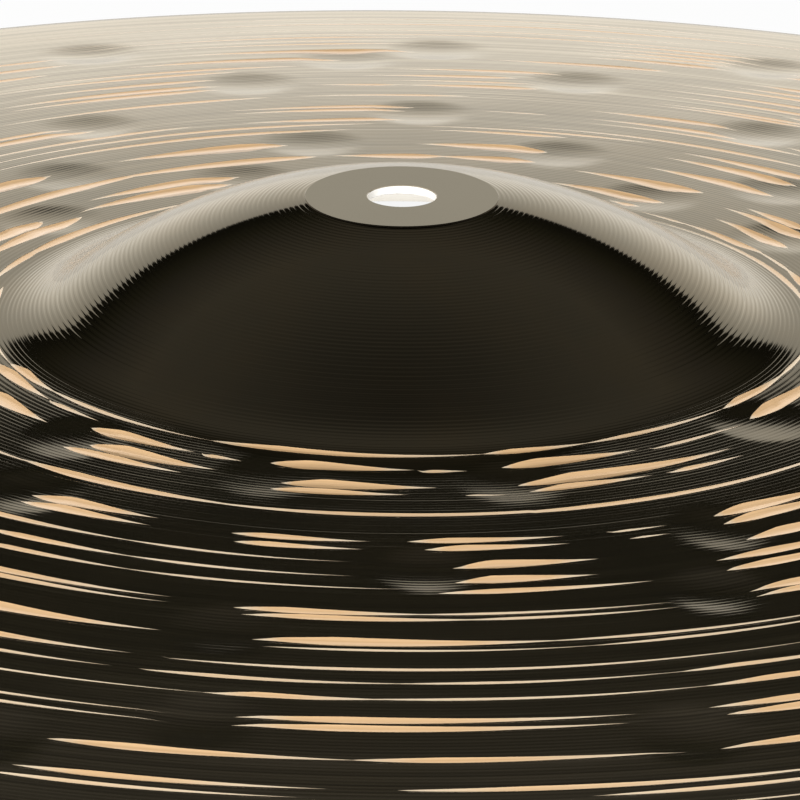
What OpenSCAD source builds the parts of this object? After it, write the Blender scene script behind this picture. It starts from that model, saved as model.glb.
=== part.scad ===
// Crash cymbal: one round shell of cast bronze, pressed, hammered and turned.
// Millimetres. The hole's axis is Z, and the rim's lowest circle lies on z = 0.

/* [Rim and bow] */
// Diameter over the rim
rim_d = 457; // [420:1:520]
// Radius of the bow's arc, from the bell's foot to the rim
bow_arc_r = 1960; // [1400:20:2600]
// Thickness of the bow at the rim, whose edge is fully rounded
rim_wall = 0.9; // [0.7:0.05:1.4]

/* [Bell] */
// Diameter of the bell where its foot runs out into the bow
bell_d = 145; // [130:1:170]
// Radius of the bell's dome
dome_arc_r = 103.5; // [95:0.5:130]
// Radius of the hollow foot between the dome and the bow
foot_arc_r = 22; // [14:1:40]
// Thickness of the bell and its foot
bell_wall = 1.3; // [1:0.05:1.8]

/* [Land and hole] */
// Diameter of the flat land round the hole
land_d = 34; // [26:0.5:44]
// Height of the land's edge above the turned dome
land_step = 0.3; // [0.1:0.05:0.6]
// Diameter of the hole
hole_d = 12; // [10:0.1:14]
// Chamfer on both edges of the hole
hole_chamfer = 0.2; // [0.1:0.05:0.4]

/* [Hammer marks] */
// Width of one mark
mark_d = 19; // [12:0.5:24]
// Depth of one mark
mark_depth = 0.3; // [0.1:0.05:0.4]
// Bearing of the first mark of the innermost ring
mark_bearing = 32; // [0:1:90]

/* [Hidden] */

rim_r = rim_d / 2;
bell_r = bell_d / 2;
land_r = land_d / 2;
hole_r = hole_d / 2;

// Slope of the bow at the rim's rounding and at the bell's foot
rim_slope = asin((rim_r - rim_wall / 2) / (bow_arc_r - rim_wall / 2));
foot_slope = asin(bell_r / bow_arc_r);

// Arc centres, found from the rim inwards so that each arc meets the next one smoothly
rim_mid = [rim_r - rim_wall / 2, rim_wall / 2];
bow_mid = [0, rim_mid[1] - (bow_arc_r - rim_wall / 2) * cos(rim_slope)];
foot_mid = bow_mid + (bow_arc_r + foot_arc_r) * normal(foot_slope);
dome_mid = [0, foot_mid[1] - sqrt(pow(dome_arc_r + foot_arc_r, 2) - pow(foot_mid[0], 2))];
dome_slope = asin(foot_mid[0] / (dome_arc_r + foot_arc_r));

// The bow's underside: an arc centred on the axis that thins the wall from the foot to the rim
under_foot = bow_mid + (bow_arc_r - bell_wall) * normal(foot_slope);
under_rim = bow_mid + (bow_arc_r - rim_wall) * normal(rim_slope);
under_mid = [0, axis_centre(under_foot, under_rim)];
under_arc_r = norm(under_foot - under_mid);

// Heights of the land's two faces
land_top = arc_height(dome_mid, dome_arc_r, land_r) + land_step;
land_under = arc_height(dome_mid, dome_arc_r - bell_wall, land_r);

// Rings of hammer marks: place between the bell's foot (0) and the rim (1), marks in the ring,
// and the turn of its first mark past the innermost ring's
ring_place = [0.075, 0.203, 0.375, 0.542, 0.754];
ring_count = [13, 13, 14, 16, 17];
ring_turn = [0, 15, 29, 46, 36];

// Ball that leaves a mark of the named width and depth
mark_ball_r = (pow(mark_d / 2, 2) + pow(mark_depth, 2)) / (2 * mark_depth);

// Facets of a full turn, and straight steps along each arc of the outline
turn_fn = 240;
dome_steps = 14;
foot_steps = 12;
bow_steps = 12;
rim_steps = 8;

// Facets of a mark's edge, and of the large circle that its ball has
mark_edge_fn = 48;
mark_fn = 720;

// Outward direction of a surface with the given slope, in the half section
function normal(slope) = [sin(slope), cos(slope)];

// Height of an arc above a radius, for an arc centred on the axis
function arc_height(mid, arc_r, r) = mid[1] + sqrt(pow(arc_r, 2) - pow(r, 2));

// Height on the axis of the centre of the arc through two points
function axis_centre(a, b) = (a * a - b * b) / (2 * (a[1] - b[1]));

// Points along an arc between two slopes, without the first one. A negative radius gives a hollow arc.
function arc(mid, arc_r, from, to, steps) =
    [for (i = [1 : steps]) mid + arc_r * normal(from + (to - from) * i / steps)];

// Half section of the turned shell: along the top from the hole to the rim, and back underneath
module section() {
    land_edge = [
        [hole_r, land_under + hole_chamfer],
        [hole_r, land_top - hole_chamfer],
        [hole_r + hole_chamfer, land_top],
        [land_r, land_top],
        [land_r, land_top - land_step],
    ];
    top = concat(
        arc(dome_mid, dome_arc_r, asin(land_r / dome_arc_r), dome_slope, dome_steps),
        arc(foot_mid, -foot_arc_r, dome_slope, foot_slope, foot_steps),
        arc(bow_mid, bow_arc_r, foot_slope, rim_slope, bow_steps)
    );
    rim = arc(rim_mid, rim_wall / 2, rim_slope, rim_slope + 180, rim_steps);
    under_from = asin(under_rim[0] / under_arc_r);
    under_to = asin(under_foot[0] / under_arc_r);
    inner_dome_r = dome_arc_r - bell_wall;
    under = concat(
        arc(under_mid, under_arc_r, under_from, under_to, bow_steps),
        arc(foot_mid, -(foot_arc_r + bell_wall), foot_slope, dome_slope, foot_steps),
        arc(dome_mid, inner_dome_r, dome_slope, asin(land_r / inner_dome_r), dome_steps)
    );
    polygon(concat(land_edge, top, rim, under, [[hole_r + hole_chamfer, land_under]]));
}

// Blunt lens that cuts one hammer mark, its lowest point at the origin
module mark_cutter() {
    rotate_extrude($fn = mark_edge_fn) intersection() {
        translate([0, mark_ball_r]) circle(mark_ball_r, $fn = mark_fn);
        square([mark_d, 2 * mark_depth]);
    }
}

// Rings of shallow hammer marks, each square to the bow
module hammer_marks() {
    for (ring = [0 : len(ring_place) - 1]) {
        slope = asin((bell_r + ring_place[ring] * (rim_r - bell_r)) / bow_arc_r);
        bottom = bow_mid + (bow_arc_r - mark_depth) * normal(slope);
        for (mark = [0 : ring_count[ring] - 1])
            rotate(mark_bearing + ring_turn[ring] + mark * 360 / ring_count[ring])
            translate([bottom[0], 0, bottom[1]])
            rotate([0, slope, 0])
            mark_cutter();
    }
}

// The whole cymbal: the turned shell less its hammer marks
module cymbal() {
    color([0.16, 0.14, 0.11]) difference() {
        rotate_extrude($fn = turn_fn) section();
        hammer_marks();
    }
}

cymbal();
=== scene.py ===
"""Crash cymbal: a hammered, lathe-turned bronze disc with a dark patina and bare bronze streaks."""
import math
import random

import bpy
import numpy as np
from mathutils import Matrix, Vector


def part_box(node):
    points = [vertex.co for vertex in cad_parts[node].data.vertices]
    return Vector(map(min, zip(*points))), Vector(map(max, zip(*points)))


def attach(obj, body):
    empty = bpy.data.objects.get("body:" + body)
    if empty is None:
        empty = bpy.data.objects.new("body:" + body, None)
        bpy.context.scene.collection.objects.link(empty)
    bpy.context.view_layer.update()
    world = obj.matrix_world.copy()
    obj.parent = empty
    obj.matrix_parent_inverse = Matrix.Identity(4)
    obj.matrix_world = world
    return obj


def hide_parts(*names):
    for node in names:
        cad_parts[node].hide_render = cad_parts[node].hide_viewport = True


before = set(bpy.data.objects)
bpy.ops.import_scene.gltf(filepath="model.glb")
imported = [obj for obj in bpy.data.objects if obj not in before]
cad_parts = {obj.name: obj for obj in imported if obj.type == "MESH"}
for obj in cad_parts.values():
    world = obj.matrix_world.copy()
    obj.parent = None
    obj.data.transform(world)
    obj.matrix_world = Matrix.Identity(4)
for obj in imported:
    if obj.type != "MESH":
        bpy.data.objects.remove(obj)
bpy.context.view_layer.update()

# Sizes in millimetres, the same as the solid's. The rim and the land's height are read from it.
MM = 0.001
box_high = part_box("cymbal")[1]
RIM_R = box_high.x / MM
LAND_TOP = box_high.z / MM
RIM_WALL = 0.9
BOW_ARC_R = 1960.0
BELL_R = 72.5
BELL_WALL = 1.3
DOME_ARC_R = 103.5
FOOT_ARC_R = 22.0
LAND_R = 17.0
LAND_STEP = 0.3
HOLE_R = 6.0
HOLE_CHAMFER = 0.2

# Bevel on the land's edge, and the small fillet in the corner below it, outwards and upwards
LAND_BEVEL = 0.03
CORNER_OUT = 0.03
CORNER_UP = 0.02

# The half section, found from the rim inwards: slopes and radii where its arcs meet, and the heights
# of the arcs' centres
EDGE_R = RIM_WALL / 2
RIM_SLOPE = math.asin((RIM_R - EDGE_R) / (BOW_ARC_R - EDGE_R))
FOOT_SLOPE = math.asin(BELL_R / BOW_ARC_R)
BOW_Z = EDGE_R - (BOW_ARC_R - EDGE_R) * math.cos(RIM_SLOPE)
BOW_END = RIM_R - EDGE_R + EDGE_R * math.sin(RIM_SLOPE)
FOOT_X = (BOW_ARC_R + FOOT_ARC_R) * math.sin(FOOT_SLOPE)
FOOT_Z = BOW_Z + (BOW_ARC_R + FOOT_ARC_R) * math.cos(FOOT_SLOPE)
DOME_Z = FOOT_Z - math.sqrt((DOME_ARC_R + FOOT_ARC_R) ** 2 - FOOT_X ** 2)
DOME_SLOPE = math.asin(FOOT_X / (DOME_ARC_R + FOOT_ARC_R))
DOME_END = DOME_ARC_R * math.sin(DOME_SLOPE)

# The underside's arcs: the dome and the foot one wall further in, and a bow that thins the wall
UNDER_DOME_R = DOME_ARC_R - BELL_WALL
UNDER_DOME_END = UNDER_DOME_R * math.sin(DOME_SLOPE)
UNDER_HOLLOW_R = FOOT_ARC_R + BELL_WALL
UNDER_FOOT_R = (BOW_ARC_R - BELL_WALL) * math.sin(FOOT_SLOPE)
UNDER_FOOT_Z = BOW_Z + (BOW_ARC_R - BELL_WALL) * math.cos(FOOT_SLOPE)
UNDER_RIM_R = (BOW_ARC_R - RIM_WALL) * math.sin(RIM_SLOPE)
UNDER_RIM_Z = BOW_Z + (BOW_ARC_R - RIM_WALL) * math.cos(RIM_SLOPE)
UNDER_Z = (UNDER_FOOT_R ** 2 + UNDER_FOOT_Z ** 2 - UNDER_RIM_R ** 2 - UNDER_RIM_Z ** 2) / (
    2 * (UNDER_FOOT_Z - UNDER_RIM_Z))
UNDER_ARC_R = math.hypot(UNDER_FOOT_R, UNDER_FOOT_Z - UNDER_Z)
LAND_UNDER = DOME_Z + math.sqrt(UNDER_DOME_R ** 2 - LAND_R ** 2)

# Bearings in degrees from +X: the middle of the front, which faces the camera, and of the back
FRONT = 270
BACK = 90

# Mesh: spans of bearings with the step between its points, finer where the photograph looks; the
# widest space between two rings; rings across the land as shares of its breadth; the underside's
# first ring, out from the hole's chamfer; steps round the rim's edge; and the angle of a sharp edge
TURN_SPANS = [(-20, 40, 1.0), (40, 140, 0.7), (140, 200, 1.0), (200, 340, 0.7)]
BELL_SPACE = 2.0
BOW_SPACE = 2.7
UNDER_BELL_SPACE = 4.4
UNDER_BOW_SPACE = 13.0
LAND_SHARES = (0.25, 0.6, 0.93)
UNDER_FIRST = 2.0
EDGE_STEPS = 8
SHARP_ANGLE = math.radians(25)

# Hammer marks: their radius, the power that rounds their hollow and their depth; the marks that the
# photograph shows as (radius, bearing, share of the depth); and rings of (radius, marks, bearing of
# the first) for the rest
MARK_R = 9.8
MARK_POWER = 1.4
MARK_DEPTH = 0.30
SEEN_MARKS = [
    (83.5, 229, 1.0), (84, 255.2, 0.9), (85, 283, 1.1), (80.5, 320, 1.0), (106.5, 234.5, 1.3),
    (113.5, 298.1, 1.3), (120, 272.3, 1.6), (135.5, 292.3, 1.7), (146, 259, 1.1), (190, 250.5, 1.4),
    (184, 284.5, 1.4), (178, 260, 1.3),
    (84.5, 57.3, 1.4), (84.8, 34.5, 1.5), (105.5, 48.3, 1.5), (104, 73.6, 1.6), (138, 60.5, 1.9),
    (130, 88.6, 1.8), (86, 110.3, 1.3), (107, 99.2, 1.6), (104.5, 127.1, 1.4), (134, 116.5, 1.7),
    (84.8, 139.7, 1.3), (161.5, 77.9, 1.9), (157, 101, 1.5), (177, 93.6, 1.6), (186.5, 88, 1.7),
    (194, 108.6, 1.9), (192, 67.7, 1.9),
]
MARK_RINGS = [
    (84.2, 13, 32.0), (104.2, 13, 47.0), (131.0, 14, 61.0), (157.1, 16, 78.0), (190.1, 17, 68.0),
]

# Handwork in those rings: the seed of its draw, how far a mark strays in degrees and in radius, the
# range of its depth, and how many degrees it keeps clear of what the photograph shows
MARK_SEED = 5
MARK_STRAY_TURN = 2
MARK_STRAY_R = 3
MARK_SHARES = (0.7, 1.0)
MARK_CLEAR = 3

# Hammering between the marks: height of its waves, and each wave's run in radians per millimetre
# and its start; where the hammering begins, is full, fades and ends; and its share underneath
WAVE_HEIGHT = 0.03
WAVE_X = 0.13
WAVE_X_START = 1.1
WAVE_Y = 0.11
WAVE_Y_START = 0.4
LONG_WAVE_X = 0.071
LONG_WAVE_Y = 0.093
LONG_WAVE_START = 2.0
HAMMER_START = BELL_R - 1
HAMMER_FULL = BELL_R + 5
HAMMER_FADE = RIM_R - 9
HAMMER_END = RIM_R - 1.5
UNDER_SHARE = 0.6

# Passes of the lathe tool that cut through the patina: radius of the pass's outer edge, and its cuts,
# each as first bearing, last bearing and width. A negative width turns the cut round. Two more values
# are how far the cut lies in from the pass's edge, at its first and at its last bearing.
PASSES = [
    (72.9, [(187, 203, 0.7), (201.5, 216, 1.9), (214, 245, 1.1), (244, 283, 2.1), (281.5, 297, 2.0),
            (296, 321, 1.3), (320, 338, 2.1), (335, 352, 0.8), (6, 56, 1.0)]),
    (75.9, [(200.5, 217, 2.7), (217, 227.5, 1.2), (13, 24, 1.6), (21, 34, 0.7), (30, 49, 1.7),
            (46, 55, 0.8), (117, 155, -2.1), (150, 168, 1.4)]),
    (79.5, [(228, 244, 3.4), (245, 250.5, 1.4), (254, 271.8, 3.7), (272.5, 278.3, 1.3),
            (283, 301, 3.7), (302.5, 318, 1.0), (320, 341, 3.6), (56.5, 61, 1.6)]),
    (83.2, [(208, 223, 3.9), (31, 45.5, 2.8), (136, 159, 3.4)]),
    (85.7, [(231.5, 248.5, 4.5), (55, 71, 3.7), (112.5, 135, 4.3)]),
    (87.3, [(257, 274.3, 3.8), (283.5, 311, 4.1), (140, 156, 3.5)]),
    (88.4, [(229.5, 245.5, 2.9)]),
    (89.9, [(256, 271, 2.7), (277, 282, 0.7), (284.5, 298.5, 2.5), (300.5, 310.5, 1.5),
            (33, 48, 2.8), (110.5, 131, 3.9)]),
    (92.7, [(36, 46, 2.5)]),
    (95.4, [(53.5, 70, 3.7)]),
    (98.6, [(206, 233, 1.6, 1.6, 1.6), (229, 257, 2.3, 1.5, 0.1), (250, 310, 1.4, 0.6, 0.0),
            (276, 330, 1.5), (75, 87, 3.4), (85.5, 98, 3.0), (99.5, 127, 3.2),
            (120, 156, 3.0, 0.2, 1.6)]),
    (104.3, [(48, 63.5, 3.4)]),
    (107.8, [(235.3, 248, 3.4), (75, 88.5, 4.3)]),
    (109.4, [(255.5, 267.5, 2.1), (271, 284.5, 2.2), (288.5, 294, 0.8), (299, 313, 3.4),
             (102, 120, 4.6), (128, 145, 4.2)]),
    (110.8, [(235.3, 248, 2.9)]),
    (112.6, [(256, 267, 2.0), (272.5, 284.5, 2.4), (290, 293.4, 0.7), (299, 313, 3.2),
             (48.5, 63.5, 3.2)]),
    (117.3, [(222, 250, 2.0), (247, 266.5, 0.8), (48, 63, 2.7), (74.5, 88, 1.6), (95, 134, 1.6)]),
    (119.9, [(274.7, 286, 3.3), (299, 313, 3.2), (67, 90, 1.1)]),
    (121.5, [(92.5, 134, 1.3)]),
    (123.0, [(236, 250, 1.8), (248.5, 267, 0.9), (51, 81, 1.3)]),
    (125.7, [(274.5, 285, 3.0), (295, 311, 2.4), (90, 104.5, 2.2), (108.5, 134, 1.3)]),
    (127.7, [(236, 251, 1.5), (249.5, 271, 0.8)]),
    (129.7, [(273, 289, 1.9), (294.5, 310, 2.6), (54, 75, 1.2)]),
    (133.4, [(61, 74.5, 1.9), (78, 84, 0.7), (90, 104.5, 1.9), (116.5, 134, 2.7)]),
    (136.0, [(234, 254.5, 1.9), (89, 105, 1.8), (118, 134, 1.4)]),
    (137.9, [(235, 254.5, 1.6), (259, 273, 2.1), (271, 289.5, 0.9), (295, 307, 2.5)]),
    (140.0, [(260, 277, 2.0), (274, 289.5, 1.0), (295, 307, 2.0), (63, 75, 2.4)]),
    (145.2, [(85, 98.5, 1.3), (100.5, 123, 1.5)]),
    (149.2, [(234, 255.3, 3.7), (261.3, 281, 3.1), (279, 302, 0.9), (58, 72, 1.4)]),
    (151.0, [(262, 284, 0.8), (282, 302, 0.9), (58, 71.5, 1.4)]),
    (154.5, [(80, 91, 2.3), (90, 97, 1.3), (103.5, 120, 2.2)]),
    (158.0, [(234, 254.5, 2.6), (256.5, 298, 1.0), (58, 72, 1.5), (80.5, 92, 1.2), (103.5, 120, 2.6)]),
    (162.9, [(234, 254, 1.8), (255.5, 272, 1.2), (270, 287, 0.9), (286, 300, 1.3), (58, 72.5, 1.5),
             (82, 93, 2.0), (103, 117.5, 1.8)]),
    (168.7, [(236, 261, 0.8), (260, 270, 1.8), (268, 289, 0.9), (287, 302, 1.8), (58, 72, 1.5),
             (79.5, 91, 2.0), (101, 119, 1.6)]),
    (171.9, [(62, 68, 1.4), (97, 118, 1.4)]),
    (176.4, [(240, 258.5, 0.9), (262, 282.5, 2.2), (286.5, 303, 2.1), (62, 67, 2.0)]),
    (179.3, [(241, 258.5, 1.1), (262, 282, 2.3), (286.8, 303, 2.3), (73, 85, 2.4), (94, 108.5, 2.7),
             (113, 122, 1.6)]),
    (186.6, [(70, 79, 2.4), (89.5, 104, 3.1), (111, 122, 1.9)]),
    (189.7, [(238, 249, 1.4), (253.3, 268.5, 2.3), (268, 284, 1.8), (285.5, 301, 2.1),
             (69.5, 80, 1.3)]),
    (192.6, [(69.5, 80, 1.4), (90, 106, 1.2), (111, 118, 1.5)]),
    (195.6, [(69, 80, 1.5), (91, 104, 0.9)]),
    (199.2, [(237, 249, 1.4), (252.8, 267, 1.8), (270, 294, 1.5), (69, 80, 1.5), (89, 110, 1.2)]),
    (202.0, [(251.5, 266, 1.2), (279, 296, 1.2), (68, 112, 1.0)]),
    (206.5, [(72, 108, 0.8)]),
    (213.0, [(66, 114, 1.2)]),
    (218.5, [(70, 112, 0.7)]),
]
UNDER_PASSES = [(90, []), (112, []), (134, []), (158, []), (183, []), (207, [])]

# Seeds of the draws for cuts that the photograph doesn't show, and the width's share underneath
TOP_SEED = 11
UNDER_SEED = 23
UNDER_WIDTH = 0.8

# Shape of a cut: the share of its length at its broadest place, the powers of its quick start and of
# its taper, and the share of that power in the taper, beside a cosine
CUT_PEAK = 0.24
START_POWER = 0.6
TAPER_POWER = 1.7
TAPER_MIX = 0.6

# Its tips: how far in they lie as a share of the width, and the degrees past them that keep their
# place. Then the factor for cuts at the back, which the slanting view makes look narrower.
TIP_SHARE = 0.35
TIP_REACH = 4.5
BACK_WIDER = 1.25

# Limits of a pass: the mesh's step at its edge, the line of patina that stays between two passes,
# the least breadth of bare bronze, the fewest points in a row, the points beside a cut that are its
# own, the distance that stands for no cut, and the difference between radii that doesn't count
PASS_EDGE = 0.05
CUT_LINE = 0.10
BARE_LEAST = 0.02
SHORT_RUN = 5
BESIDE = (-2, -1, 1, 2)
NO_CUT = 9.0
SAME_R = 0.001

# Cuts that the photograph doesn't show, in millimetres along the pass: the least space between passes
# that get them, ranges of the gaps before the first and between two, lengths and widths of thin and
# broad ones, the chance of a thin one, the radius past which all are thin, the shortest that is kept,
# and the radius and share by which widths fall off towards the rim
FILL_SPACE = 2.8
FIRST_GAP = (4, 22)
NEXT_GAP = (8, 60)
THIN_LENGTH = (30, 90)
THIN_WIDTH = (0.5, 1.2)
BROAD_LENGTH = (16, 42)
BROAD_WIDTH = (1.6, 3.6)
THIN_CHANCE = 0.45
THIN_PAST = 203
SHORTEST = 12
FALL_OFF_R = 150
WIDTH_ADDED = 0.15

# Those cuts inside a hammer mark: where in from the pass's edge its depth is read, and the width's
# share without depth, its fall with the depth and its least value
MARK_READ = 1.0
IN_MARK_SHARE = 1.9
IN_MARK_FALL = 1.6
IN_MARK_LEAST = 0.4

# Half breadth of what the photograph shows of the bow, in front of the bell and behind it, the radius
# where its front ends, and the largest sine of a half angle
SEEN_FRONT = 68.0
SEEN_BACK = 74.0
SEEN_FRONT_R = 203.0
SEEN_SINE = 0.92


def turn_points():
    """Bearings of the mesh's points, span by span."""
    spans = []
    for first, last, step in TURN_SPANS:
        spans.append(np.linspace(first, last, round((last - first) / step), endpoint=False))
    return np.concatenate(spans)


bearings = turn_points()
TURN = len(bearings)
TURN_X = np.cos(np.radians(bearings))
TURN_Y = np.sin(np.radians(bearings))


def smooth_step(low, high, value):
    """Smooth rise from 0 at low to 1 at high."""
    t = np.clip((value - low) / (high - low), 0.0, 1.0)
    return t * t * (3 - 2 * t)


def top_height(r):
    """Height of the turned top face at a radius."""
    if r <= DOME_END:
        return DOME_Z + math.sqrt(DOME_ARC_R ** 2 - r * r)
    if r <= BELL_R:
        return FOOT_Z - math.sqrt(FOOT_ARC_R ** 2 - (FOOT_X - r) ** 2)
    return BOW_Z + math.sqrt(BOW_ARC_R ** 2 - r * r)


def under_height(r):
    """Height of the turned underside at a radius."""
    if r <= LAND_R:
        return LAND_UNDER
    if r <= UNDER_DOME_END:
        return DOME_Z + math.sqrt(UNDER_DOME_R ** 2 - r * r)
    if r <= UNDER_FOOT_R:
        return FOOT_Z - math.sqrt(UNDER_HOLLOW_R ** 2 - (FOOT_X - r) ** 2)
    return UNDER_Z + math.sqrt(UNDER_ARC_R ** 2 - r * r)


def seen_breadth(radius):
    """Half angles that the photograph shows at a radius, in front of the bell and behind it."""
    front = SEEN_FRONT if radius < SEEN_FRONT_R else 0.0
    return [math.degrees(math.asin(min(SEEN_SINE, half / radius))) for half in (front, SEEN_BACK)]


def hammer_marks():
    """All marks as (radius, bearing, depth), with the unevenness of handwork."""
    draw = random.Random(MARK_SEED)
    marks = [(radius, bearing, MARK_DEPTH * share) for radius, bearing, share in SEEN_MARKS]
    for radius, count, first in MARK_RINGS:
        front, back = seen_breadth(radius)
        for i in range(count):
            stray = draw.uniform(-MARK_STRAY_TURN, MARK_STRAY_TURN)
            bearing = (first + i * 360 / count + stray) % 360
            place = radius + draw.uniform(-MARK_STRAY_R, MARK_STRAY_R)
            depth = MARK_DEPTH * draw.uniform(*MARK_SHARES)
            past_front = abs(bearing - FRONT) > front + MARK_CLEAR
            past_back = abs(bearing - BACK) > back + MARK_CLEAR
            if past_front and past_back:
                marks.append((place, bearing, depth))
    return marks


MARKS = hammer_marks()


def hammering(r):
    """Rise of the hammered surface round one ring: marks, and the gentle waves between them."""
    x = r * TURN_X
    y = r * TURN_Y
    rise = np.zeros(TURN)
    for radius, bearing, depth in MARKS:
        if abs(radius - r) < MARK_R:
            mid_x = radius * math.cos(math.radians(bearing))
            mid_y = radius * math.sin(math.radians(bearing))
            near = np.clip(1 - ((x - mid_x) ** 2 + (y - mid_y) ** 2) / MARK_R ** 2, 0, 1)
            rise -= depth * near ** MARK_POWER
    waves = np.sin(x * WAVE_X + WAVE_X_START) * np.sin(y * WAVE_Y + WAVE_Y_START)
    waves += np.sin(x * LONG_WAVE_X - y * LONG_WAVE_Y + LONG_WAVE_START)
    rise += WAVE_HEIGHT * waves
    fade = smooth_step(HAMMER_START, HAMMER_FULL, r) * (1 - smooth_step(HAMMER_FADE, HAMMER_END, r))
    return rise * fade


def cut_shape(start, end, width, lead):
    """Near and far edge of one cut at every bearing, in from the pass's edge: quick start, long taper."""
    past = (bearings - start + 180) % 360 - 180
    close = (past > -TIP_REACH) & (past < end - start + TIP_REACH)
    t = np.clip(past / (end - start), 0, 1)
    if width < 0:
        width = -width
        t = 1 - t
    start_share = np.clip(t / CUT_PEAK, 0, 1) ** START_POWER
    taper = np.clip((t - CUT_PEAK) / (1 - CUT_PEAK), 0, 1)
    end_share = TAPER_MIX * (1 - taper ** TAPER_POWER)
    end_share += (1 - TAPER_MIX) / 2 * (1 + np.cos(math.pi * taper))
    shape = start_share * end_share
    near = np.maximum(0, TIP_SHARE * width * (1 - shape) + lead[0] + (lead[1] - lead[0]) * t)
    return np.where(close, near, 0), np.where(close, near + width * shape, 0)


def unseen_stretches(radius, cuts):
    """First and last bearing of the stretches of a pass that the photograph doesn't show."""
    if not cuts:
        return [(0, 360)]
    front, back = seen_breadth(radius)
    front_cuts = [cut for cut in cuts if cut[0] > 180]
    back_cuts = [cut for cut in cuts if cut[0] <= 180]
    front_from = min([FRONT - front] + [cut[0] for cut in front_cuts])
    front_to = max([FRONT + front] + [cut[1] for cut in front_cuts])
    back_from = min([BACK - back] + [cut[0] for cut in back_cuts])
    back_to = max([BACK + back] + [cut[1] for cut in back_cuts])
    return [(front_to, 360 + back_from), (back_to, front_from)]


def unseen_cuts(radius, cuts, draw):
    """Cuts of the same kind on the stretches of a pass that the photograph doesn't show."""
    degrees_per_mm = math.degrees(1 / radius)
    added = []
    for first, last in unseen_stretches(radius, cuts):
        at = first + draw.uniform(*FIRST_GAP) * degrees_per_mm
        while at < last:
            thin = draw.random() < THIN_CHANCE or radius > THIN_PAST
            length = draw.uniform(*(THIN_LENGTH if thin else BROAD_LENGTH)) * degrees_per_mm
            width = draw.uniform(*(THIN_WIDTH if thin else BROAD_WIDTH))
            end = min(at + length, last)
            if end - at > SHORTEST * degrees_per_mm:
                added.append((at, end, width * min(1.0, FALL_OFF_R / radius + WIDTH_ADDED)))
            at += length + draw.uniform(*NEXT_GAP) * degrees_per_mm
    return added


def long_runs(marked):
    """The marked bearings without the runs that are only a few bearings long."""
    starts = marked
    for shift in range(1, SHORT_RUN):
        starts = starts & np.roll(marked, -shift)
    kept = starts
    for shift in range(1, SHORT_RUN):
        kept = kept | np.roll(starts, shift)
    return kept


def pass_columns(passes, seed, level):
    """Each pass as (radius, near and far edge of its cuts at every bearing, bearings where it cuts)."""
    draw = random.Random(seed)
    columns = []
    filled_to = 0.0
    before = np.zeros(TURN)
    for radius, cuts in passes:
        all_cuts = list(cuts)
        if radius - filled_to > FILL_SPACE:
            all_cuts += unseen_cuts(radius, cuts, draw)
            filled_to = radius
        near = np.zeros(TURN)
        far = np.zeros(TURN)
        last_end = 0.0
        last_wide = 0.0
        hammered = hammering(radius - MARK_READ) / MARK_DEPTH
        in_marks = np.clip(IN_MARK_SHARE + IN_MARK_FALL * hammered, IN_MARK_LEAST, 1)
        for place, (start, end, wide, *lead) in enumerate(all_cuts):
            wide *= level * (BACK_WIDER if start < 180 else 1)
            if not lead:
                runs_on = start < last_end < end
                lead = [TIP_SHARE * (last_wide - abs(wide)) if runs_on else 0.0, 0.0]
            cut_near, cut_far = cut_shape(start, end, wide, lead)
            if place >= len(cuts):
                cut_far = cut_near + (cut_far - cut_near) * in_marks
            last_end = end
            last_wide = abs(wide)
            more = (cut_far - cut_near) - (far - near)
            wider = (more > 0) | ((more == 0) & (cut_far > far))
            near = np.where(wider, cut_near, near)
            far = np.where(wider, cut_far, far)
        far = np.minimum(far, radius - before - PASS_EDGE - CUT_LINE)
        near = np.minimum(near, far)
        bare = long_runs(far - near > BARE_LEAST)
        far = np.where(bare, far, near)
        cutting = bare
        for shift in BESIDE:
            cutting = cutting | np.roll(bare, shift)
        before = np.where(cutting, radius, before)
        columns.append((radius, near, far, cutting))
    return columns


def ring_cuts(r, columns):
    """Distance in from the next pass that cuts outside a ring, and that pass's edges, at every bearing.

    Where the next bearing belongs to another pass, a closed tip stays on the side of its neighbour,
    so that no sliver of bronze lies between the two."""
    across = np.full(TURN, NO_CUT)
    near = np.zeros(TURN)
    far = np.zeros(TURN)
    chosen = np.zeros(TURN)
    for radius, pass_near, pass_far, cutting in reversed(columns):
        if radius > r - SAME_R:
            across = np.where(cutting, radius - r, across)
            near = np.where(cutting, pass_near, near)
            far = np.where(cutting, pass_far, far)
            chosen = np.where(cutting, radius, chosen)
    tip_near = near
    tip_far = far
    for shift in (-1, 1):
        beyond = np.roll(across > far, shift)
        short = np.roll(across < near, shift)
        tip = (np.roll(chosen, shift) != chosen) & (far == near)
        side = np.where(beyond, across - 1, np.where(short, across + 1, across))
        tip_near = np.where(tip, side, tip_near)
        tip_far = np.where(tip, side, tip_far)
    return across, tip_near, tip_far


def filled(radii, space):
    """The radii in order, with more between them where two are further apart than the space allows."""
    radii = sorted(radii)
    out = [radii[0]]
    for r in radii[1:]:
        steps = max(1, math.ceil((r - out[-1]) / space(r)))
        first = out[-1]
        out += [first + (r - first) * i / steps for i in range(1, steps + 1)]
    return out


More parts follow.
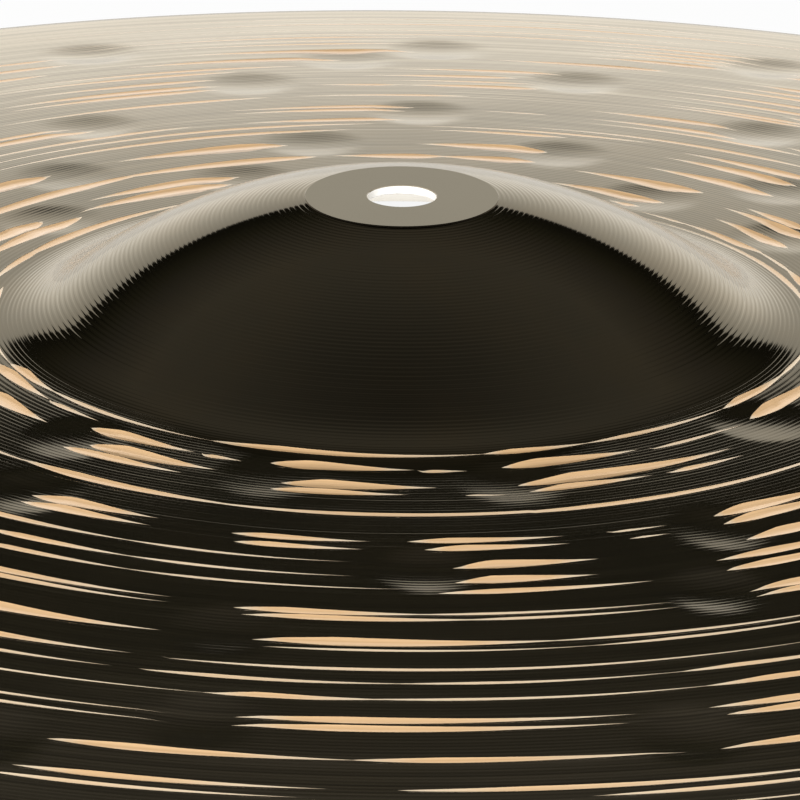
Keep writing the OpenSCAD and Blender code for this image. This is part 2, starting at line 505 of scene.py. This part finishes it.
def build_rings():
    """The closed section as rings in order: radius, heights, hammering, and the cuts that cross it."""
    flat = np.zeros(TURN)
    not_cut = (np.full(TURN, NO_CUT), flat, flat)
    chamfer_r = HOLE_R + HOLE_CHAMFER
    rings = []

    def plain(r, z):
        """Level ring without hammering or cuts."""
        rings.append((r, np.full(TURN, z), flat, not_cut))

    def edges(columns):
        """Radii on both sides of the step at each pass's edge."""
        return [radius + step for radius, near, far, cutting in columns for step in (0, PASS_EDGE)]

    plain(chamfer_r, LAND_UNDER)
    plain(HOLE_R, LAND_UNDER + HOLE_CHAMFER)
    plain(HOLE_R, LAND_TOP - HOLE_CHAMFER)
    plain(chamfer_r, LAND_TOP)
    for share in LAND_SHARES:
        plain(chamfer_r + share * (LAND_R - HOLE_R - HOLE_CHAMFER), LAND_TOP)
    plain(LAND_R - LAND_BEVEL, LAND_TOP)
    plain(LAND_R, LAND_TOP - LAND_BEVEL)
    plain(LAND_R, LAND_TOP - LAND_STEP + CORNER_UP)

    columns = pass_columns(PASSES, TOP_SEED, 1.0)
    top = filled([LAND_R + CORNER_OUT, DOME_END, BELL_R, BOW_END] + edges(columns),
                 lambda r: BELL_SPACE if r <= BELL_R else BOW_SPACE)
    for r in top:
        rise = hammering(r)
        rings.append((r, top_height(r) + rise, rise / MARK_DEPTH, ring_cuts(r, columns)))

    for i in range(1, EDGE_STEPS):
        slope = RIM_SLOPE + math.pi * i / EDGE_STEPS
        plain(RIM_R - EDGE_R + EDGE_R * math.sin(slope), EDGE_R + EDGE_R * math.cos(slope))

    columns = pass_columns(UNDER_PASSES, UNDER_SEED, UNDER_WIDTH)
    under = filled([LAND_R, UNDER_FOOT_R, UNDER_RIM_R, chamfer_r + UNDER_FIRST] + edges(columns),
                   lambda r: UNDER_BELL_SPACE if r <= BELL_R else UNDER_BOW_SPACE)
    for r in reversed(under):
        rise = UNDER_SHARE * hammering(r)
        rings.append((r, under_height(r) + rise, -rise / MARK_DEPTH, ring_cuts(r, columns)))
    return rings


def build_mesh(name, rings):
    """Closed mesh of the rings, with the hammering and the cuts as values on its points."""
    points = [np.stack([r * TURN_X, r * TURN_Y, z], axis=1) for r, z, hammered, cut in rings]
    count = len(rings)
    faces = []
    for i in range(count):
        a = i * TURN
        b = (i + 1) % count * TURN
        for j in range(TURN):
            k = (j + 1) % TURN
            faces.append((a + j, b + j, b + k, a + k))
    mesh = bpy.data.meshes.new(name)
    mesh.from_pydata((np.concatenate(points) * MM).tolist(), [], faces)
    layers = {
        "hammered": [hammered for r, z, hammered, cut in rings],
        "cut_across": [cut[0] for r, z, hammered, cut in rings],
        "cut_near": [cut[1] for r, z, hammered, cut in rings],
        "cut_far": [cut[2] for r, z, hammered, cut in rings],
    }
    for label, values in layers.items():
        layer = mesh.attributes.new(label, "FLOAT", "POINT")
        layer.data.foreach_set("value", np.concatenate(values).astype(np.float32))
    mesh.shade_smooth()
    mesh.set_sharp_from_angle(angle=SHARP_ANGLE)
    mesh.validate()
    return mesh


class Tree:
    """Short way to write a node tree."""

    def __init__(self, tree):
        self.tree = tree
        tree.nodes.clear()

    def node(self, kind, values=None, **settings):
        """New node with its settings, and with values or links on its inputs."""
        made = self.tree.nodes.new(kind)
        for key, value in settings.items():
            setattr(made, key, value)
        for key, value in (values or {}).items():
            self.put(made.inputs[key], value)
        return made

    def put(self, socket, value):
        """Link an output to a socket, or set the socket's own value."""
        if isinstance(value, bpy.types.NodeSocket):
            self.tree.links.new(value, socket)
        else:
            socket.default_value = value

    def math(self, operation, first, second=0.0, third=0.0):
        """Result of an operation on numbers."""
        values = {0: first, 1: second, 2: third}
        return self.node("ShaderNodeMath", values, operation=operation).outputs[0]

    def vector(self, operation, first, second=(0, 0, 0)):
        """Node for an operation on vectors."""
        return self.node("ShaderNodeVectorMath", {0: first, 1: second}, operation=operation)

    def ramp(self, value, low, high, out_low=0.0, out_high=1.0, smooth=True):
        """Value carried from one range to another, and held at its ends."""
        kind = "SMOOTHSTEP" if smooth else "LINEAR"
        return self.node("ShaderNodeMapRange", {0: value, 1: low, 2: high, 3: out_low, 4: out_high},
                         interpolation_type=kind).outputs[0]

    def mix(self, share, first, second):
        """Colour between two, by the second one's share."""
        made = self.node("ShaderNodeMix", data_type="RGBA")
        self.put(made.inputs[0], share)
        self.put(made.inputs[6], first)
        self.put(made.inputs[7], second)
        return made.outputs[2]

    def noise(self, vector, scale, detail=2.0, roughness=0.5):
        """Noise in space."""
        return self.node("ShaderNodeTexNoise", {"Vector": vector, "Scale": scale, "Detail": detail,
                                                "Roughness": roughness}).outputs[0]

    def noise_along(self, value, scale, detail, roughness=0.5):
        """Noise along one value."""
        return self.node("ShaderNodeTexNoise", {"W": value, "Scale": scale, "Detail": detail,
                                                "Roughness": roughness},
                         noise_dimensions="1D").outputs[0]


# Patina's mirror colours: most of it, its browner clouds, at the rim, on the land, where it is
# thin; then a near-black painted shade in the corner at the land's foot
PATINA = (0.166, 0.147, 0.107, 1)
PATINA_BROWN = (0.185, 0.155, 0.105, 1)
PATINA_RIM = (0.33, 0.293, 0.229, 1)
PATINA_LAND = (0.208, 0.187, 0.137, 1)
PATINA_THIN = (0.39, 0.345, 0.27, 1)
# Painted shade: near-black in the corner under the land's step, standing in for the step's shadow line
CORNER_PAINTED_SHADE = (0.015, 0.013, 0.01, 1)

# Bronze's colours: in broad cuts, in narrow ones, at a cut's edge, in the hole's bore, on the hole's
# chamfers, and inside the bell; then the share of mirror and the roughness where it is bare
BRONZE = (0.93, 0.61, 0.325, 1)
BRONZE_FINE = (0.97, 0.79, 0.57, 1)
BRONZE_EDGE = (0.50, 0.26, 0.09, 1)
BRONZE_BORE = (0.97, 0.95, 0.91, 1)
BRONZE_CHAMFER = (0.34, 0.29, 0.21, 1)
BRONZE_INSIDE = (0.98, 0.965, 0.93, 1)
BRONZE_METALLIC = 0.25
BRONZE_ROUGH = 0.13

# Sheen: roughness of the patina on the bell and on the bow, what its clouds add, the reach of the
# change at the bell's foot, the tint of grazing light, and the brushed look round the axis
DULL_BELL = 0.04
DULL_BOW = 0.055
DULL_CLOUD = 0.03
DULL_REACH = 3
GRAZING_TINT = (1.0, 0.95, 0.86, 1)
BRUSHED = 0.9
BRUSHED_TURN = 0.25

# Limits of those places: past the hole's radius for the bore, short of its chamfer's edge, to each
# side of the land's edge for the painted shade in its corner, past the bell's radius underneath, and
# how far down a face there looks
BORE_PAST = 0.05
CHAMFER_SHORT = 0.005
CORNER_SHADE_REACH = 0.02
INSIDE_PAST = 6
INSIDE_FACING = -0.2

# The lathe's fine grooves as (inner radius, pitch, tilt in degrees), the radial breadth over which one
# kind runs into the next, and over which they begin at the land
GROOVES = [
    (LAND_R, 0.90, 5.2), (25.0, 0.90, 4.6), (36.0, 0.82, 4.5), (47.0, 0.82, 7.6), (56.0, 0.80, 9.2),
    (BELL_R - 1, 1.06, 2.0), (112.0, 1.10, 1.7),
]
GROOVE_BLEND = 3.0
GROOVE_BEGIN = 0.02

# Shape of a groove: shares of the third and fifth power of its wave, which make its sides steep and
# the rest flat; then the noise per groove that varies the depth, its detail, its part and the part
# of the depth without it
GROOVE_THIRD = -0.667
GROOVE_FIFTH = 0.2
DEPTH_NOISE = 0.83
DEPTH_DETAIL = 1.0
DEPTH_VARIED = 1.5
DEPTH_STEADY = 0.25

# Hollow of a cut: the radius of the tool's nose, and the angle by which the tool leans
TOOL_NOSE_R = 9.0
CUT_LEAN = math.radians(1.5)

# Edges of the cuts: noise per millimetre and reach of their unevenness, the range of far edges over
# which it sets in, what is added to a cut's sides, and the breadth of its soft edge
EDGE_NOISE = 0.35
EDGE_UNEVEN = 0.10
EDGE_RANGE = (0.3, 1.5)
EDGE_ADDED = 0.04
EDGE_SOFT = 0.1

# Colour across a cut: breadths from narrow to broad, the reach and share of the edge's colour, and
# the fine scratches in it: lines per millimetre, range of their noise and share of the edge's colour
FINE_RANGE = (0.5, 1.8)
EDGE_REACH = 0.16
EDGE_SHARE = 0.28
SCRATCH_LINES = 2.1
SCRATCH_RANGE = (0.4, 0.75)
SCRATCH_SHARE = 0.22

# Long lines where the patina is thin: changes round the axis, lines per millimetre, detail and
# roughness of their noise, the radii between which its limit falls and the limits there, what a mark
# adds to it, the soft edge, and the bell's clearance
LINE_CHANGES = 1.3
THIN_LINES = 0.62
LINE_DETAIL = 2.0
LINE_ROUGH = 0.6
THIN_RADII = (95, 215)
THIN_LIMITS = (0.66, 0.48)
THIN_IN_MARKS = -0.25
THIN_SOFT = 0.16
THIN_CLEAR = 3

# Tone of the patina: its clouds' noise per millimetre, detail, roughness and range, and the radius
# where it starts to turn to the rim's colour; then the tone of the grooves: the wave's part, the
# noise per groove with its detail, roughness and part, and the bell's share up to a radius
CLOUD_NOISE = 0.03
CLOUD_DETAIL = 4.0
CLOUD_ROUGH = 0.6
CLOUD_RANGE = (0.35, 0.7)
RIM_TONE_FROM = 105
TONE_WAVE = 0.17
TONE_NOISE = 0.45
TONE_DETAIL = 2.0
TONE_ROUGH = 0.6
TONE_STREAKS = 0.9
TONE_BELL = 0.04
TONE_FULL_R = 118


def cut_places(t, level, values):
    """Distance inside the edges of a cut, its breadth, and its share of the surface."""
    near = values["cut_near"]
    far = values["cut_far"]
    across = values["cut_across"]
    uneven = t.math("MULTIPLY_ADD", t.noise(level, EDGE_NOISE), EDGE_UNEVEN, -EDGE_UNEVEN / 2)
    uneven = t.math("MULTIPLY", uneven, t.ramp(far, *EDGE_RANGE))
    to_far = t.math("SUBTRACT", t.math("ADD", far, uneven), across)
    inside = t.math("MINIMUM", to_far, t.math("SUBTRACT", across, near))
    breadth = t.math("SUBTRACT", far, near)
    inside = t.math("MINIMUM", t.math("ADD", inside, EDGE_ADDED), breadth)
    return inside, breadth, t.ramp(inside, 0.0, EDGE_SOFT)


def cut_hollow(t, values, cut):
    """Height of the leaning hollow that the tool's nose leaves in a cut."""
    from_near = t.math("SUBTRACT", values["cut_across"], values["cut_near"])
    from_far = t.math("SUBTRACT", values["cut_across"], values["cut_far"])
    hollow = t.math("MULTIPLY", t.math("MULTIPLY", from_near, from_far), 1 / (2 * TOOL_NOSE_R))
    hollow = t.math("MULTIPLY_ADD", from_near, -math.tan(CUT_LEAN), hollow)
    return t.math("MULTIPLY", hollow, cut)


def turned_lines(t, around, r, lines):
    """Noise that is drawn out into long lines round the axis."""
    outward = t.node("ShaderNodeCombineXYZ", {"Z": t.math("MULTIPLY", r, lines)}).outputs[0]
    return t.noise(t.vector("ADD", around, outward).outputs[0], 1.0, LINE_DETAIL, LINE_ROUGH)


def thin_patina(t, around, r, hammered):
    """Long fine lines where the patina is thin, more of them towards the rim and none in the marks."""
    limit = t.ramp(r, *THIN_RADII, *THIN_LIMITS, smooth=False)
    limit = t.math("MULTIPLY_ADD", hammered, THIN_IN_MARKS, limit)
    drawn = t.math("SUBTRACT", turned_lines(t, around, r, THIN_LINES), limit)
    on_bow = t.math("GREATER_THAN", r, BELL_R + THIN_CLEAR)
    return t.math("MULTIPLY", t.ramp(drawn, 0.0, THIN_SOFT), on_bow)


def grooves(t, r):
    """The grooves' count outwards, their wave and their height, with a pitch and depth by region."""
    turns = 0.0
    depth = 0.0
    before = 0.0
    ends = [inner for inner, pitch, tilt in GROOVES[1:]] + [RIM_R]
    for (inner, pitch, tilt), outer in zip(GROOVES, ends):
        reach = t.math("SUBTRACT", t.math("MINIMUM", t.math("MAXIMUM", r, inner), outer), inner)
        turns = t.math("MULTIPLY_ADD", reach, 1 / pitch, turns)
        region_depth = math.tan(math.radians(tilt)) * pitch / math.tau
        low = inner - GROOVE_BLEND if before else inner
        high = inner + GROOVE_BLEND if before else inner + GROOVE_BEGIN
        depth = t.math("ADD", depth, t.ramp(r, low, high, 0.0, region_depth - before))
        before = region_depth
    varied = t.noise_along(turns, DEPTH_NOISE, DEPTH_DETAIL)
    depth = t.math("MULTIPLY", depth, t.math("MULTIPLY_ADD", varied, DEPTH_VARIED, DEPTH_STEADY))
    wave = t.math("COSINE", t.math("MULTIPLY", turns, math.tau))
    square = t.math("MULTIPLY", wave, wave)
    steep = t.math("MULTIPLY_ADD", square, GROOVE_FIFTH, GROOVE_THIRD)
    steep = t.math("MULTIPLY_ADD", square, steep, 1.0)
    return turns, wave, t.math("MULTIPLY", t.math("MULTIPLY", wave, steep), depth)


def patina_colour(t, r, cloud, turns, wave, thin):
    """Cloudy patina that turns to the rim's colour, with a tone of its own on every groove, and painted
    corner shade.
    """
    patina = t.mix(t.ramp(cloud, *CLOUD_RANGE), PATINA, PATINA_BROWN)
    patina = t.mix(t.ramp(r, RIM_TONE_FROM, RIM_R, smooth=False), patina, PATINA_RIM)
    streaky = t.noise_along(turns, TONE_NOISE, TONE_DETAIL, TONE_ROUGH)
    streaky = t.math("MULTIPLY_ADD", streaky, TONE_STREAKS, -TONE_STREAKS / 2)
    tone = t.math("MULTIPLY_ADD", wave, TONE_WAVE, streaky)
    tone = t.math("MULTIPLY_ADD", tone, t.ramp(r, BELL_R, TONE_FULL_R, TONE_BELL, 1.0), 1.0)
    patina = t.node("ShaderNodeVectorMath", {0: patina, "Scale": tone}, operation="SCALE").outputs[0]
    patina = t.mix(thin, patina, PATINA_THIN)
    patina = t.mix(t.math("LESS_THAN", r, LAND_R - LAND_BEVEL), patina, PATINA_LAND)
    # Painted shade: the corner at the land's foot turns near-black
    return t.mix(t.math("COMPARE", r, LAND_R, CORNER_SHADE_REACH), patina, CORNER_PAINTED_SHADE)


def bare_colour(t, around, r, inside, breadth):
    """Bronze in a cut: paler where it is narrow, darker at its edge, with fine scratches."""
    metal = t.mix(t.ramp(breadth, *FINE_RANGE), BRONZE_FINE, BRONZE)
    metal = t.mix(t.ramp(inside, 0.0, EDGE_REACH, EDGE_SHARE, 0.0), metal, BRONZE_EDGE)
    scratch = turned_lines(t, around, r, SCRATCH_LINES)
    return t.mix(t.ramp(scratch, *SCRATCH_RANGE, 0.0, SCRATCH_SHARE), metal, BRONZE_EDGE)


def bronze_material():
    """Dark polished patina, cut through to bare bronze by the passes, with the lathe's fine grooves."""
    material = bpy.data.materials.new("dark_bronze")
    material.use_nodes = True
    t = Tree(material.node_tree)
    place = t.node("ShaderNodeTexCoord").outputs["Object"]
    level = t.vector("MULTIPLY", place, (1 / MM, 1 / MM, 0)).outputs[0]
    r = t.vector("LENGTH", level).outputs["Value"]
    around = t.vector("NORMALIZE", level).outputs[0]
    around = t.vector("MULTIPLY", around, (LINE_CHANGES, LINE_CHANGES, 0)).outputs[0]
    values = {}
    for label in ("hammered", "cut_across", "cut_near", "cut_far"):
        values[label] = t.node("ShaderNodeAttribute", attribute_name=label).outputs["Fac"]

    inside, breadth, cut = cut_places(t, level, values)
    thin = thin_patina(t, around, r, values["hammered"])
    bore = t.math("LESS_THAN", r, HOLE_R + BORE_PAST)
    hole_edge = t.math("LESS_THAN", r, HOLE_R + HOLE_CHAMFER - CHAMFER_SHORT)
    bare = t.math("MAXIMUM", cut, hole_edge)

    turns, wave, groove = grooves(t, r)
    height = t.math("MULTIPLY", t.math("ADD", groove, cut_hollow(t, values, cut)), MM)
    bump = t.node("ShaderNodeBump", {"Strength": 1.0, "Distance": 1.0, "Height": height}).outputs[0]

    cloud = t.noise(level, CLOUD_NOISE, CLOUD_DETAIL, CLOUD_ROUGH)
    patina = patina_colour(t, r, cloud, turns, wave, thin)
    metal = bare_colour(t, around, r, inside, breadth)
    colour = t.mix(hole_edge, t.mix(bare, patina, metal), BRONZE_CHAMFER)
    colour = t.mix(bore, colour, BRONZE_BORE)
    facing = t.node("ShaderNodeSeparateXYZ", {0: t.node("ShaderNodeNewGeometry").outputs["True Normal"]})
    looks_down = t.math("LESS_THAN", facing.outputs[2], INSIDE_FACING)
    inner = t.math("MULTIPLY", looks_down, t.math("LESS_THAN", r, BELL_R + INSIDE_PAST))
    colour = t.mix(inner, colour, BRONZE_INSIDE)

    metallic = t.math("MULTIPLY_ADD", bare, BRONZE_METALLIC - 1, 1.0)
    dull = t.ramp(r, BELL_R - DULL_REACH, BELL_R + DULL_REACH, DULL_BELL, DULL_BOW)
    dull = t.math("MULTIPLY_ADD", cloud, DULL_CLOUD, dull)
    rough = t.node("ShaderNodeMix", {0: bare, 2: dull, 3: BRONZE_ROUGH}).outputs[0]
    tangent = t.node("ShaderNodeTangent", direction_type="RADIAL", axis="Z").outputs[0]
    shader = t.node("ShaderNodeBsdfPrincipled", {
        "Base Color": colour, "Metallic": metallic, "Roughness": rough, "Normal": bump,
        "Specular Tint": GRAZING_TINT, "Anisotropic": BRUSHED, "Anisotropic Rotation": BRUSHED_TURN,
        "Tangent": tangent})
    out = t.node("ShaderNodeOutputMaterial")
    t.tree.links.new(shader.outputs[0], out.inputs[0])
    return material


# Floor: radius and drop below the rim in metres, its sides, its paper, and the share of plain white
# that it shows
FLOOR_R = 6.0
FLOOR_DROP = 0.0001
FLOOR_SIDES = 64
PAPER = (0.95, 0.95, 0.95, 1)
WHITE = (1, 1, 1, 1)
WHITE_SHARE = 0.9


def shown_white(t):
    """1 for rays that show the surroundings themselves, in the picture or mirrored or through glass."""
    path = t.node("ShaderNodeLightPath").outputs
    seen = t.math("MAXIMUM", path["Is Camera Ray"], path["Is Glossy Ray"])
    return t.math("MAXIMUM", seen, path["Is Transmission Ray"])


def floor_material():
    """Matt white paper that shows white and keeps part of the shadow."""
    material = bpy.data.materials.new("floor_white")
    material.use_nodes = True
    t = Tree(material.node_tree)
    paper = t.node("ShaderNodeBsdfDiffuse", {"Color": PAPER})
    white = t.node("ShaderNodeEmission", {"Color": WHITE, "Strength": 1.0})
    both = t.node("ShaderNodeMixShader", {0: t.math("MULTIPLY", shown_white(t), WHITE_SHARE)})
    t.tree.links.new(paper.outputs[0], both.inputs[1])
    t.tree.links.new(white.outputs[0], both.inputs[2])
    out = t.node("ShaderNodeOutputMaterial")
    t.tree.links.new(both.outputs[0], out.inputs[0])
    return material


def add_floor():
    """Round level floor under the rim, wide enough for every view."""
    corners = []
    for i in range(FLOOR_SIDES):
        turn = math.tau * i / FLOOR_SIDES
        corners.append((FLOOR_R * math.cos(turn), FLOOR_R * math.sin(turn), -FLOOR_DROP))
    mesh = bpy.data.meshes.new("floor")
    mesh.from_pydata(corners, [], [tuple(range(FLOOR_SIDES))])
    floor = bpy.data.objects.new("floor", mesh)
    bpy.context.scene.collection.objects.link(floor)
    floor.data.materials.append(floor_material())


# Studio: brightness of the surroundings by elevation in degrees. A white sweep ends at its upper edge,
# which is soft by a few tenths to each side. The dark room above it has a faint warm glow, which is
# yellower low down. The whole leans a little to one side.
SWEEP_TOP = 21.3
SWEEP_SOFT = 0.3
ROOM = [
    (0, 1.37), (3, 1.34), (6, 1.28), (9, 1.19), (12, 1.07), (16, 0.91), (SWEEP_TOP - SWEEP_SOFT, 0.755),
    (SWEEP_TOP + SWEEP_SOFT, 0.012), (25, 0.022), (29, 0.042), (35, 0.08), (45, 0.15), (56, 0.135),
    (75, 0.08), (90, 0.055),
]
ROOM_LEAN = math.radians(0.65)
GLOW = (1.0, 0.95, 0.84)
LOW_GLOW = (1.0, 0.97, 0.70)
LOW_GLOW_TOP = 32


def studio_world():
    """White for the camera; the sweep and the dark room for all other rays."""
    world = bpy.data.worlds.new("studio")
    bpy.context.scene.world = world
    world.use_nodes = True
    t = Tree(world.node_tree)
    way = t.node("ShaderNodeTexCoord").outputs["Generated"]
    upright = (-math.sin(ROOM_LEAN), 0, math.cos(ROOM_LEAN))
    up = t.vector("DOT_PRODUCT", way, upright).outputs["Value"]
    elevation = t.math("DIVIDE", t.math("ARCSINE", up), math.pi / 2)
    ramp = t.node("ShaderNodeValToRGB", {0: elevation})
    stops = ramp.color_ramp.elements
    top = max(value for angle, value in ROOM)
    while len(stops) < len(ROOM):
        stops.new(0.5)
    for stop, (angle, value) in zip(stops, ROOM):
        stop.position = angle / 90
        tint = (1, 1, 1)
        if angle > SWEEP_TOP:
            tint = LOW_GLOW if angle < LOW_GLOW_TOP else GLOW
        stop.color = [value / top * part for part in tint] + [1]
    camera_ray = t.node("ShaderNodeLightPath").outputs["Is Camera Ray"]
    seen = t.mix(camera_ray, ramp.outputs[0], (1 / top, 1 / top, 1 / top, 1))
    back = t.node("ShaderNodeBackground", {"Color": seen, "Strength": top})
    out = t.node("ShaderNodeOutputWorld")
    t.tree.links.new(back.outputs[0], out.inputs[0])


# Key lamp: its place and aim in metres, the side of its square, and its power in watts
KEY_PLACE = (-0.6, -2.0, 1.2)
KEY_AIM = (0, 0, 0.02)
KEY_SIZE = 1.4
KEY_POWER = 100


def add_key_lamp():
    """Soft square lamp that points at the bell and isn't mirrored in it."""
    light = bpy.data.lights.new("key", "AREA")
    light.size = KEY_SIZE
    light.energy = KEY_POWER
    lamp = bpy.data.objects.new("key", light)
    lamp.location = KEY_PLACE
    aim = Vector(KEY_AIM) - Vector(KEY_PLACE)
    lamp.rotation_euler = aim.to_track_quat("-Z", "Y").to_euler()
    lamp.visible_glossy = False
    bpy.context.scene.collection.objects.link(lamp)


# Camera: distance in metres from the land's centre, angle above it, roll, focal length for a 36 mm
# film, the picture's side and the row that shows the land's centre in pixels, and the clipping range
CAMERA_AWAY = 1.400
CAMERA_RISE = math.radians(18.044)
CAMERA_ROLL = math.radians(-0.507)
CAMERA_LENS = 358.48
CAMERA_FILM = 36.0
PICTURE = 800
LAND_ROW = 195.9
CLIP_START = 0.05
CLIP_END = 50


def add_camera():
    """Camera at the photograph's place, with the land above the middle of the picture."""
    data = bpy.data.cameras.new("camera")
    data.lens = CAMERA_LENS
    data.sensor_width = CAMERA_FILM
    data.clip_start = CLIP_START
    data.clip_end = CLIP_END
    focal = CAMERA_LENS / CAMERA_FILM * PICTURE
    pitch = CAMERA_RISE + math.atan((PICTURE / 2 - LAND_ROW) / focal)
    ahead = Vector((0, math.cos(pitch), -math.sin(pitch)))
    down = Vector((0, -math.sin(pitch), -math.cos(pitch)))
    right = Vector((1, 0, 0))
    across = math.cos(CAMERA_ROLL) * right + math.sin(CAMERA_ROLL) * down
    below = -math.sin(CAMERA_ROLL) * right + math.cos(CAMERA_ROLL) * down
    turn = Matrix((across, -below, -ahead)).transposed().to_4x4()
    away = Vector((0, -math.cos(CAMERA_RISE), math.sin(CAMERA_RISE))) * CAMERA_AWAY
    camera = bpy.data.objects.new("camera", data)
    camera.matrix_world = Matrix.Translation(away + Vector((0, 0, LAND_TOP * MM))) @ turn
    bpy.context.scene.collection.objects.link(camera)
    bpy.context.scene.camera = camera


cymbal = bpy.data.objects.new("cymbal_bronze", build_mesh("cymbal_bronze", build_rings()))
bpy.context.scene.collection.objects.link(cymbal)
cymbal.data.materials.append(bronze_material())
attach(cymbal, "root")
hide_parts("cymbal")

add_floor()
add_key_lamp()
studio_world()
add_camera()
bpy.context.scene.view_settings.view_transform = "Standard"
